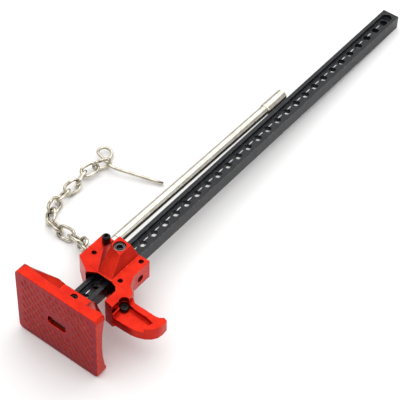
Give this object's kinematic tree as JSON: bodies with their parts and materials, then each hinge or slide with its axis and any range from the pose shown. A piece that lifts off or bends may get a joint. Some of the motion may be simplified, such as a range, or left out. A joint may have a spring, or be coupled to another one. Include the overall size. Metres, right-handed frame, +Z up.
{
  "type": "toe jack",
  "caption": "Miniature farm-style toe jack lying on its side: perforated rack bar, ribbed base plate, sliding runner with lifting toe, hinged handle and a chained lock pin.",
  "frame": {"origin": "on the floor under the middle of the whole jack as it lies", "axes": "+Z up from the floor, +Y along the rack bar away from the base plate, +X to the side where the lifting toe points"},
  "size_m": [0.053, 0.1398, 0.0204],
  "materials": {
    "base_plate_red": "red anodised, satin",
    "black_screw": "black oxide",
    "chain_nickel": "bright nickel plate",
    "handle_chrome": "polished",
    "rack_black": "black anodised, satin",
    "runner_body_red": "red anodised, satin",
    "runner_cover_red": "red anodised, satin",
    "toe_red": "red anodised, satin"
  },
  "bodies": {
    "rack": {"rack_bar": "rack_black", "base_plate": "base_plate_red", "base_set_screw": "black_screw"},
    "runner": {"runner_body": "runner_body_red", "runner_cover": "runner_cover_red", "cover_screw_1": "black_screw", "cover_screw_2": "black_screw", "cover_screw_3": "black_screw", "side_set_screw": "black_screw", "toe": "toe_red", "toe_screw": "black_screw", "handle_pivot_screw": "black_screw", "chain_anchor": "chain_nickel"},
    "handle": {"handle_knuckle": "handle_chrome", "handle_rod": "handle_chrome", "handle_sleeve": "handle_chrome"},
    "lock_screw": {"lock_set_screw": "black_screw"},
    "chain_link_01": {"chain_link_01": "chain_nickel"},
    "chain_link_02": {"chain_link_02": "chain_nickel"},
    "chain_link_03": {"chain_link_03": "chain_nickel"},
    "chain_link_04": {"chain_link_04": "chain_nickel"},
    "chain_link_05": {"chain_link_05": "chain_nickel"},
    "chain_link_06": {"chain_link_06": "chain_nickel"},
    "chain_link_07": {"chain_link_07": "chain_nickel"},
    "chain_link_08": {"chain_link_08": "chain_nickel"},
    "chain_link_09": {"chain_link_09": "chain_nickel"},
    "chain_link_10": {"chain_link_10": "chain_nickel"},
    "chain_link_11": {"chain_link_11": "chain_nickel"},
    "chain_link_12": {"chain_link_12": "chain_nickel"},
    "chain_link_13": {"chain_link_13": "chain_nickel"},
    "lock_pin": {"lock_pin": "chain_nickel"}
  },
  "joints": [
    {"name": "runner_slide", "type": "slide", "parent": "rack", "child": "runner", "axis": [0, 0.9982, -0.0601], "range_m": [-0.0015, 0.11]},
    {"name": "handle_pivot", "type": "hinge", "parent": "runner", "child": "handle", "pos_m": [0.00132, -0.04563, 0.01039], "axis": [0, 0.0601, 0.9982], "range_deg": [0, 90]},
    {"name": "lock_screw_travel", "type": "slide", "parent": "runner", "child": "lock_screw", "axis": [0, 0.0601, 0.9982], "range_m": [0, 0.0015]},
    {"name": "chain_hinge_01", "type": "hinge", "parent": "runner", "child": "chain_link_01", "pos_m": [-0.00248, -0.04876, 0.00881], "axis": [-0.8652, -0.3387, 0.3697], "range_deg": [-5, 12]},
    {"name": "chain_hinge_02", "type": "hinge", "parent": "chain_link_01", "child": "chain_link_02", "pos_m": [-0.00429, -0.04664, 0.00651], "axis": [0.1218, 0.8024, 0.5842], "range_deg": [-5, 12]},
    {"name": "chain_hinge_03", "type": "hinge", "parent": "chain_link_02", "child": "chain_link_03", "pos_m": [-0.00665, -0.0448, 0.00447], "axis": [-0.6815, -0.4373, 0.5868], "range_deg": [-5, 12]},
    {"name": "chain_hinge_04", "type": "hinge", "parent": "chain_link_03", "child": "chain_link_04", "pos_m": [-0.0093, -0.04338, 0.00245], "axis": [-0.0722, 0.7245, 0.6855], "range_deg": [-5, 12]},
    {"name": "chain_hinge_05", "type": "hinge", "parent": "chain_link_04", "child": "chain_link_05", "pos_m": [-0.01277, -0.04289, 0.00156], "axis": [0.0631, -0.7044, 0.707], "range_deg": [-5, 12]},
    {"name": "chain_hinge_06", "type": "hinge", "parent": "chain_link_05", "child": "chain_link_06", "pos_m": [-0.01637, -0.04328, 0.00149], "axis": [0.1405, 0.693, 0.7071], "range_deg": [-5, 12]},
    {"name": "chain_hinge_07", "type": "hinge", "parent": "chain_link_06", "child": "chain_link_07", "pos_m": [-0.01992, -0.04257, 0.00149], "axis": [-0.5293, -0.4689, 0.7071], "range_deg": [-5, 12]},
    {"name": "chain_hinge_08", "type": "hinge", "parent": "chain_link_07", "child": "chain_link_08", "pos_m": [-0.02232, -0.03986, 0.00149], "axis": [0.6873, 0.1663, 0.7071], "range_deg": [-5, 12]},
    {"name": "chain_hinge_09", "type": "hinge", "parent": "chain_link_08", "child": "chain_link_09", "pos_m": [-0.02317, -0.03634, 0.00149], "axis": [-0.7054, -0.0502, 0.7071], "range_deg": [-5, 12]},
    {"name": "chain_hinge_10", "type": "hinge", "parent": "chain_link_09", "child": "chain_link_10", "pos_m": [-0.02339, -0.03272, 0.00152], "axis": [0.6958, -0.1292, 0.7065], "range_deg": [-5, 12]},
    {"name": "chain_hinge_11", "type": "hinge", "parent": "chain_link_10", "child": "chain_link_11", "pos_m": [-0.02288, -0.02914, 0.00168], "axis": [-0.8326, -0.2385, 0.4999], "range_deg": [-5, 12]},
    {"name": "chain_hinge_12", "type": "hinge", "parent": "chain_link_11", "child": "chain_link_12", "pos_m": [-0.02383, -0.02565, 0.00174], "axis": [0.2399, -0.1047, 0.9651], "range_deg": [-5, 12]},
    {"name": "chain_hinge_13", "type": "hinge", "parent": "chain_link_12", "child": "chain_link_13", "pos_m": [-0.0229, -0.02216, 0.00189], "axis": [0.8472, -0.5313, 0], "range_deg": [-5, 12]},
    {"name": "lock_pin_swing", "type": "hinge", "parent": "chain_link_13", "child": "lock_pin", "pos_m": [-0.02127, -0.01956, 0.002], "axis": [0, 0, 1], "range_deg": [-15, 15]}
  ]
}
